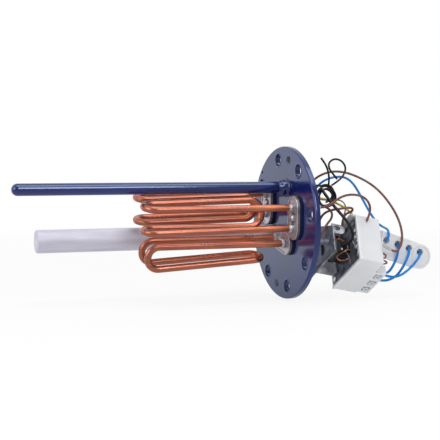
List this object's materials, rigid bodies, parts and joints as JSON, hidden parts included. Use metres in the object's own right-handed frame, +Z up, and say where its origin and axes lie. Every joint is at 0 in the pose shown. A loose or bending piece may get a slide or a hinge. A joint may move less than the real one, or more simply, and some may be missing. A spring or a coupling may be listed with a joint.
{
  "type": "flanged heating element",
  "caption": "Round blue enamelled flange carrying folded copper heater loops, a thermowell and an anode on the wet side, and a wired thermostat housing with terminals on the dry side.",
  "frame": {"origin": "centre of the flange's bolt circle, on its wet face", "axes": "+X along the heaters from the wet side to the dry side, +Z up, +Y away from the viewer in the picture"},
  "size_m": [0.4996, 0.18, 0.18],
  "materials": {
    "enamel": "glossy blue vitreous enamel",
    "copper": "bare copper, slightly tarnished",
    "magnesium": "matt cast magnesium",
    "nickel": "bright nickel plate",
    "zinc": "zinc-plated steel",
    "galvanised_sheet": "galvanised sheet steel",
    "gasket_rubber": "matt",
    "insulator": "matt insulating bead",
    "white_plastic": "moulded, semi-matt",
    "black_plastic": "moulded, semi-matt",
    "clear_sleeve": "push-on sleeve",
    "brown_wire": "flexible sleeving",
    "blue_wire": "flexible sleeving",
    "earth_wire": "yellow with a green stripe",
    "black_wire": "sleeved capillary",
    "grey_wire": "bare capillary"
  },
  "bodies": {
    "root": {"anode_bush": "insulator", "anode_nut": "zinc", "anode_rod": "magnesium", "anode_stud": "zinc", "anode_washer": "zinc", "black_cable": "black_wire", "black_coil": "black_wire", "black_lead_in": "black_wire", "black_lead_loop": "black_wire", "black_lead_up": "black_wire", "block_clamps": "zinc", "blue_lead": "blue_wire", "blue_link_1": "blue_wire", "blue_link_2": "blue_wire", "blue_link_3": "blue_wire", "bracket_bolts": "zinc", "bracket_pillars": "galvanised_sheet", "brown_drop_lead": "brown_wire", "brown_hook_lead": "brown_wire", "brown_lead_long": "brown_wire", "brown_lead_short": "brown_wire", "clamp_bolts": "nickel", "clamp_nuts": "zinc", "connector_block": "white_plastic", "cutout_body": "black_plastic", "cutout_bulb": "copper", "earth_lead": "earth_wire", "earth_lug": "zinc", "earth_screw": "zinc", "element_gasket_1": "gasket_rubber", "element_gasket_2": "gasket_rubber", "element_gasket_3": "gasket_rubber", "element_plate_1": "nickel", "element_plate_2": "nickel", "element_plate_3": "nickel", "flange_plate": "enamel", "grey_capillary": "grey_wire", "heating_element_1": "copper", "heating_element_2": "copper", "heating_element_3": "copper", "housing": "white_plastic", "lead_end_sleeve": "clear_sleeve", "leg_ferrules": "nickel", "mounting_plate": "galvanised_sheet", "plate_screws": "zinc", "strip_clamps": "zinc", "strip_screws": "zinc", "support_bracket": "galvanised_sheet", "switch_screws": "zinc", "terminal_insulators": "insulator", "terminal_pins": "zinc", "terminal_sleeves": "clear_sleeve", "terminal_strip": "white_plastic", "thermostat_body": "black_plastic", "thermostat_bulb": "copper", "thermostat_hook": "copper", "thermostat_loop": "copper", "thermowell_collar": "enamel", "thermowell_tube": "enamel"}
  },
  "joints": []
}
